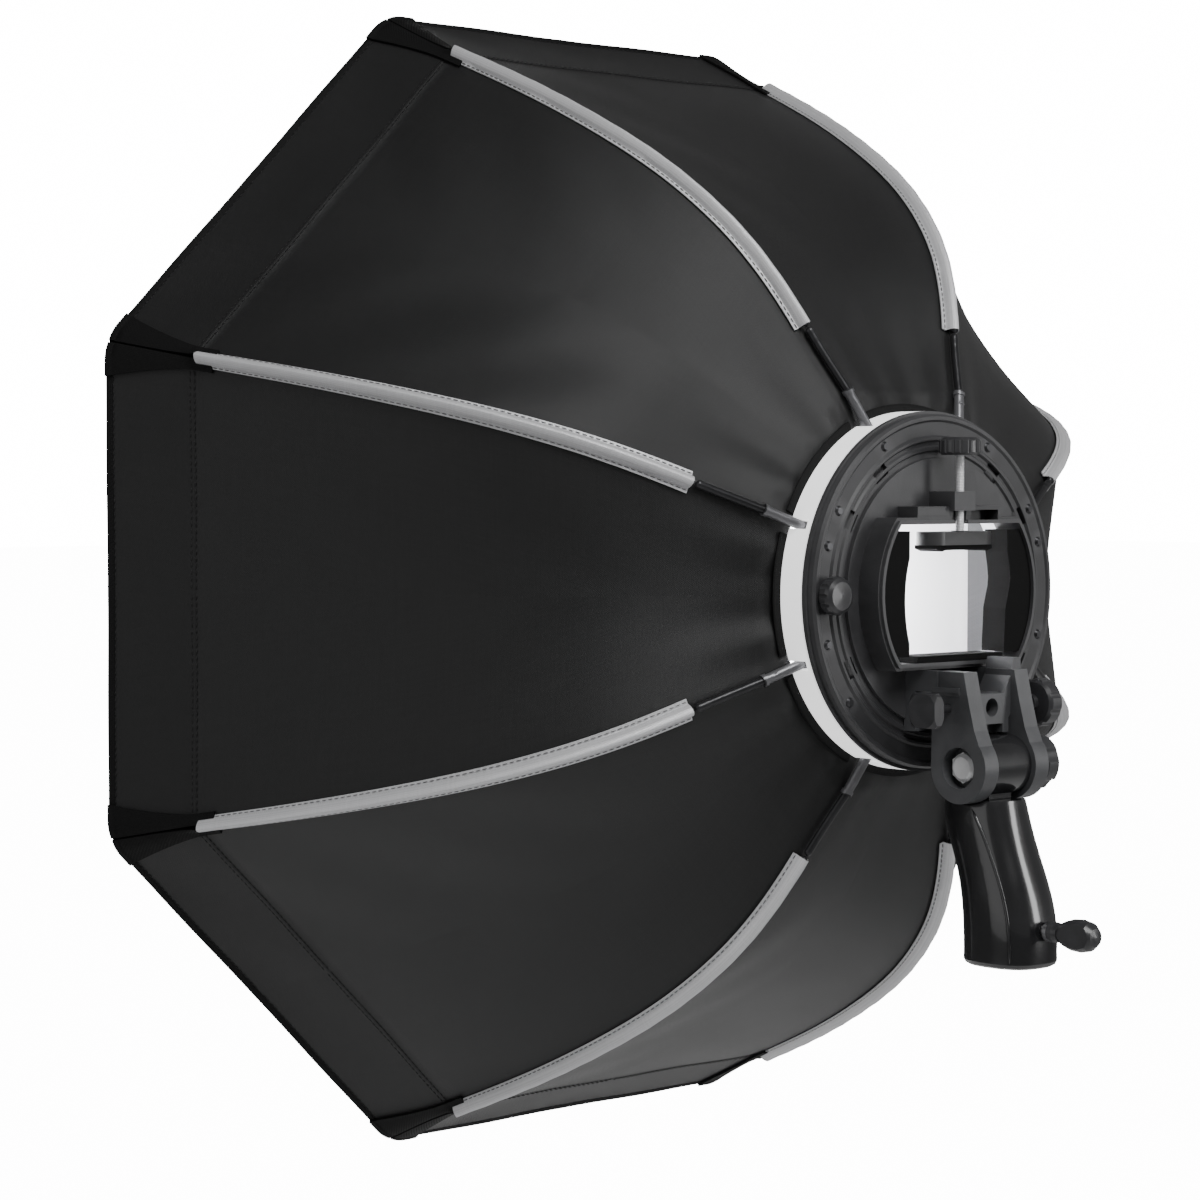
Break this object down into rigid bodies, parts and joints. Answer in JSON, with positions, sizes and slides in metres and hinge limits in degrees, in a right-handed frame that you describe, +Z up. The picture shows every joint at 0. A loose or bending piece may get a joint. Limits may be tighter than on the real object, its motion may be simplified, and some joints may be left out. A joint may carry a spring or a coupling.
{
  "type": "studio softbox",
  "caption": "Octagonal umbrella-frame softbox on a tilting flash bracket: ribs fold on a bayonet drum, a screw-driven jaw clamps a flash head and a curved grip clamps a stand spigot.",
  "frame": {"origin": "centre of the mouth of the stand socket, at the bottom of the grip", "axes": "+Z up along the stand; the light leaves along -Y; +X completes the right-handed frame"},
  "size_m": [0.5524, 0.3524, 0.5524],
  "materials": {
    "black_cloth": "satin",
    "silver_sleeve": "satin",
    "diffuser_cloth": "matte",
    "white_plastic": "satin",
    "black_plastic": "satin",
    "grey_casting": "satin",
    "gloss_black": "gloss",
    "chrome": "polished",
    "steel": "brushed",
    "rubber": "matte",
    "bush_metal": "satin"
  },
  "bodies": {
    "grip": {"grip_left": "gloss_black", "grip_right": "gloss_black", "grip_screws": "steel", "stand_bush": "bush_metal", "tilt_hub": "gloss_black"},
    "head": {"ring_housing": "black_plastic", "ring_cover": "black_plastic", "ring_screws": "steel", "flash_collar": "black_plastic", "collar_pads": "rubber", "yoke_casting": "grey_casting", "tilt_bolt": "chrome"},
    "jaw": {"clamp_jaw": "black_plastic", "jaw_pad": "rubber"},
    "clamp_screw": {"clamp_rod": "chrome", "clamp_knob": "black_plastic"},
    "side_lock": {"side_lock_knob": "black_plastic"},
    "umbrella_lock": {"umbrella_lock_knob": "black_plastic"},
    "bayonet_lock": {"bayonet_lock_knob": "black_plastic"},
    "tilt_lock": {"tilt_knob": "black_plastic", "tilt_nut": "steel"},
    "stand_lock": {"stand_lock_screw": "steel", "stand_lock_paddle": "black_plastic"},
    "speedring": {"speedring_drum": "white_plastic", "bayonet_flange": "bush_metal", "hinge_pins": "steel"},
    "rib_1": {"rib_1": "steel", "rib_sleeve_1": "silver_sleeve"},
    "rib_2": {"rib_2": "steel", "rib_sleeve_2": "silver_sleeve"},
    "rib_3": {"rib_3": "steel", "rib_sleeve_3": "silver_sleeve"},
    "rib_4": {"rib_4": "steel", "rib_sleeve_4": "silver_sleeve"},
    "rib_5": {"rib_5": "steel", "rib_sleeve_5": "silver_sleeve"},
    "rib_6": {"rib_6": "steel", "rib_sleeve_6": "silver_sleeve"},
    "rib_7": {"rib_7": "steel", "rib_sleeve_7": "silver_sleeve"},
    "rib_8": {"rib_8": "steel", "rib_sleeve_8": "silver_sleeve"},
    "gore_1_a": {"gore_1_a": "black_cloth"},
    "gore_1_b": {"gore_1_b": "black_cloth"},
    "gore_2_a": {"gore_2_a": "black_cloth"},
    "gore_2_b": {"gore_2_b": "black_cloth"},
    "gore_3_a": {"gore_3_a": "black_cloth"},
    "gore_3_b": {"gore_3_b": "black_cloth"},
    "gore_4_a": {"gore_4_a": "black_cloth"},
    "gore_4_b": {"gore_4_b": "black_cloth"},
    "gore_5_a": {"gore_5_a": "black_cloth"},
    "gore_5_b": {"gore_5_b": "black_cloth"},
    "gore_6_a": {"gore_6_a": "black_cloth"},
    "gore_6_b": {"gore_6_b": "black_cloth"},
    "gore_7_a": {"gore_7_a": "black_cloth"},
    "gore_7_b": {"gore_7_b": "black_cloth"},
    "gore_8_a": {"gore_8_a": "black_cloth"},
    "gore_8_b": {"gore_8_b": "black_cloth"},
    "front_diffuser": {"front_diffuser": "diffuser_cloth"},
    "inner_baffle": {"inner_baffle": "diffuser_cloth"}
  },
  "joints": [
    {"name": "head_tilt", "type": "hinge", "parent": "grip", "child": "head", "pos_m": [0, -0.012, 0.088], "axis": [-1, 0, 0], "range_deg": [-30, 75]},
    {"name": "tilt_knob_turn", "type": "hinge", "parent": "head", "child": "tilt_lock", "pos_m": [-0.03, -0.012, 0.088], "axis": [-1, 0, 0], "range_deg": [-180, 180]},
    {"name": "jaw_travel", "type": "slide", "parent": "head", "child": "jaw", "axis": [0, 0, 1], "range_m": [-0.015, 0.0025]},
    {"name": "clamp_screw_turn", "type": "hinge", "parent": "jaw", "child": "clamp_screw", "pos_m": [0, -0.0306, 0.227], "axis": [0, 0, 1], "range_deg": [-7800, 1300]},
    {"name": "side_lock_turn", "type": "hinge", "parent": "head", "child": "side_lock", "pos_m": [0.038, -0.018, 0.114], "axis": [1, 0, 0], "range_deg": [-180, 180]},
    {"name": "umbrella_lock_turn", "type": "hinge", "parent": "head", "child": "umbrella_lock", "pos_m": [-0.038, -0.018, 0.114], "axis": [-1, 0, 0], "range_deg": [-180, 180]},
    {"name": "bayonet_lock_turn", "type": "hinge", "parent": "head", "child": "bayonet_lock", "pos_m": [0.0715, -0.04, 0.165], "axis": [0, 1, 0], "range_deg": [-180, 180]},
    {"name": "stand_lock_turn", "type": "hinge", "parent": "grip", "child": "stand_lock", "pos_m": [0, 0.03, 0.017], "axis": [0, 1, 0], "range_deg": [-180, 180]},
    {"name": "bayonet_turn", "type": "hinge", "parent": "head", "child": "speedring", "pos_m": [0, -0.05, 0.165], "axis": [0, 1, 0], "range_deg": [0, 35]},
    {"name": "rib_1_fold", "type": "hinge", "parent": "speedring", "child": "rib_1", "pos_m": [0.07114, -0.0572, 0.19447], "axis": [0.3827, 0, -0.9239], "range_deg": [0, 42], "deforming": ["gore_1_a", "gore_1_b", "gore_2_a", "gore_2_b", "gore_3_a", "gore_3_b", "gore_4_a", "gore_4_b", "gore_5_a", "gore_5_b", "gore_6_a", "gore_6_b", "gore_7_a", "gore_7_b", "gore_8_a", "gore_8_b"]},
    {"name": "rib_2_fold", "type": "hinge", "parent": "speedring", "child": "rib_2", "pos_m": [0.02947, -0.0572, 0.23614], "axis": [0.9239, 0, -0.3827], "range_deg": [0, 42]},
    {"name": "rib_3_fold", "type": "hinge", "parent": "speedring", "child": "rib_3", "pos_m": [-0.02947, -0.0572, 0.23614], "axis": [0.9239, 0, 0.3827], "range_deg": [0, 42]},
    {"name": "rib_4_fold", "type": "hinge", "parent": "speedring", "child": "rib_4", "pos_m": [-0.07114, -0.0572, 0.19447], "axis": [0.3827, 0, 0.9239], "range_deg": [0, 42]},
    {"name": "rib_5_fold", "type": "hinge", "parent": "speedring", "child": "rib_5", "pos_m": [-0.07114, -0.0572, 0.13553], "axis": [-0.3827, 0, 0.9239], "range_deg": [0, 42]},
    {"name": "rib_6_fold", "type": "hinge", "parent": "speedring", "child": "rib_6", "pos_m": [-0.02947, -0.0572, 0.09386], "axis": [-0.9239, 0, 0.3827], "range_deg": [0, 42]},
    {"name": "rib_7_fold", "type": "hinge", "parent": "speedring", "child": "rib_7", "pos_m": [0.02947, -0.0572, 0.09386], "axis": [-0.9239, 0, -0.3827], "range_deg": [0, 42]},
    {"name": "rib_8_fold", "type": "hinge", "parent": "speedring", "child": "rib_8", "pos_m": [0.07114, -0.0572, 0.13553], "axis": [-0.3827, 0, -0.9239], "range_deg": [0, 42]},
    {"name": "gore_1_a_pleat", "type": "hinge", "parent": "rib_1", "child": "gore_1_a", "pos_m": [0.07114, -0.0572, 0.19447], "axis": [0.6496, -0.7111, 0.2691], "range_deg": [0, 70]},
    {"name": "gore_1_b_pleat", "type": "hinge", "parent": "rib_1", "child": "gore_1_b", "pos_m": [0.07114, -0.0572, 0.19447], "axis": [-0.6496, 0.7111, -0.2691], "range_deg": [0, 70]},
    {"name": "gore_2_a_pleat", "type": "hinge", "parent": "rib_2", "child": "gore_2_a", "pos_m": [0.02947, -0.0572, 0.23614], "axis": [0.2691, -0.7111, 0.6496], "range_deg": [0, 70]},
    {"name": "gore_2_b_pleat", "type": "hinge", "parent": "rib_2", "child": "gore_2_b", "pos_m": [0.02947, -0.0572, 0.23614], "axis": [-0.2691, 0.7111, -0.6496], "range_deg": [0, 70]},
    {"name": "gore_3_a_pleat", "type": "hinge", "parent": "rib_3", "child": "gore_3_a", "pos_m": [-0.02947, -0.0572, 0.23614], "axis": [-0.2691, -0.7111, 0.6496], "range_deg": [0, 70]},
    {"name": "gore_3_b_pleat", "type": "hinge", "parent": "rib_3", "child": "gore_3_b", "pos_m": [-0.02947, -0.0572, 0.23614], "axis": [0.2691, 0.7111, -0.6496], "range_deg": [0, 70]},
    {"name": "gore_4_a_pleat", "type": "hinge", "parent": "rib_4", "child": "gore_4_a", "pos_m": [-0.07114, -0.0572, 0.19447], "axis": [-0.6496, -0.7111, 0.2691], "range_deg": [0, 70]},
    {"name": "gore_4_b_pleat", "type": "hinge", "parent": "rib_4", "child": "gore_4_b", "pos_m": [-0.07114, -0.0572, 0.19447], "axis": [0.6496, 0.7111, -0.2691], "range_deg": [0, 70]},
    {"name": "gore_5_a_pleat", "type": "hinge", "parent": "rib_5", "child": "gore_5_a", "pos_m": [-0.07114, -0.0572, 0.13553], "axis": [-0.6496, -0.7111, -0.2691], "range_deg": [0, 70]},
    {"name": "gore_5_b_pleat", "type": "hinge", "parent": "rib_5", "child": "gore_5_b", "pos_m": [-0.07114, -0.0572, 0.13553], "axis": [0.6496, 0.7111, 0.2691], "range_deg": [0, 70]},
    {"name": "gore_6_a_pleat", "type": "hinge", "parent": "rib_6", "child": "gore_6_a", "pos_m": [-0.02947, -0.0572, 0.09386], "axis": [-0.2691, -0.7111, -0.6496], "range_deg": [0, 70]},
    {"name": "gore_6_b_pleat", "type": "hinge", "parent": "rib_6", "child": "gore_6_b", "pos_m": [-0.02947, -0.0572, 0.09386], "axis": [0.2691, 0.7111, 0.6496], "range_deg": [0, 70]},
    {"name": "gore_7_a_pleat", "type": "hinge", "parent": "rib_7", "child": "gore_7_a", "pos_m": [0.02947, -0.0572, 0.09386], "axis": [0.2691, -0.7111, -0.6496], "range_deg": [0, 70]},
    {"name": "gore_7_b_pleat", "type": "hinge", "parent": "rib_7", "child": "gore_7_b", "pos_m": [0.02947, -0.0572, 0.09386], "axis": [-0.2691, 0.7111, 0.6496], "range_deg": [0, 70]},
    {"name": "gore_8_a_pleat", "type": "hinge", "parent": "rib_8", "child": "gore_8_a", "pos_m": [0.07114, -0.0572, 0.13553], "axis": [0.6496, -0.7111, -0.2691], "range_deg": [0, 70]},
    {"name": "gore_8_b_pleat", "type": "hinge", "parent": "rib_8", "child": "gore_8_b", "pos_m": [0.07114, -0.0572, 0.13553], "axis": [-0.6496, 0.7111, 0.2691], "range_deg": [0, 70]},
    {"name": "front_diffuser_off", "type": "slide", "parent": "speedring", "child": "front_diffuser", "axis": [0, -1, 0], "range_m": [0, 0.463]},
    {"name": "inner_baffle_off", "type": "slide", "parent": "speedring", "child": "inner_baffle", "axis": [0, -1, 0], "range_m": [0, 0.421]}
  ],
  "couplings": [
    {"joint": "clamp_screw_turn", "follows": "jaw_travel", "rad_per_m": 8976},
    {"joint": "rib_2_fold", "follows": "rib_1_fold", "ratio": 1},
    {"joint": "rib_3_fold", "follows": "rib_1_fold", "ratio": 1},
    {"joint": "rib_4_fold", "follows": "rib_1_fold", "ratio": 1},
    {"joint": "rib_5_fold", "follows": "rib_1_fold", "ratio": 1},
    {"joint": "rib_6_fold", "follows": "rib_1_fold", "ratio": 1},
    {"joint": "rib_7_fold", "follows": "rib_1_fold", "ratio": 1},
    {"joint": "rib_8_fold", "follows": "rib_1_fold", "ratio": 1},
    {"joint": "gore_1_a_pleat", "follows": "rib_1_fold", "ratio": 1.6667},
    {"joint": "gore_1_b_pleat", "follows": "rib_1_fold", "ratio": 1.6667},
    {"joint": "gore_2_a_pleat", "follows": "rib_1_fold", "ratio": 1.6667},
    {"joint": "gore_2_b_pleat", "follows": "rib_1_fold", "ratio": 1.6667},
    {"joint": "gore_3_a_pleat", "follows": "rib_1_fold", "ratio": 1.6667},
    {"joint": "gore_3_b_pleat", "follows": "rib_1_fold", "ratio": 1.6667},
    {"joint": "gore_4_a_pleat", "follows": "rib_1_fold", "ratio": 1.6667},
    {"joint": "gore_4_b_pleat", "follows": "rib_1_fold", "ratio": 1.6667},
    {"joint": "gore_5_a_pleat", "follows": "rib_1_fold", "ratio": 1.6667},
    {"joint": "gore_5_b_pleat", "follows": "rib_1_fold", "ratio": 1.6667},
    {"joint": "gore_6_a_pleat", "follows": "rib_1_fold", "ratio": 1.6667},
    {"joint": "gore_6_b_pleat", "follows": "rib_1_fold", "ratio": 1.6667},
    {"joint": "gore_7_a_pleat", "follows": "rib_1_fold", "ratio": 1.6667},
    {"joint": "gore_7_b_pleat", "follows": "rib_1_fold", "ratio": 1.6667},
    {"joint": "gore_8_a_pleat", "follows": "rib_1_fold", "ratio": 1.6667},
    {"joint": "gore_8_b_pleat", "follows": "rib_1_fold", "ratio": 1.6667},
    {"joint": "front_diffuser_off", "follows": "rib_1_fold", "m_per_rad": 0.63025},
    {"joint": "inner_baffle_off", "follows": "rib_1_fold", "m_per_rad": 0.57296}
  ]
}
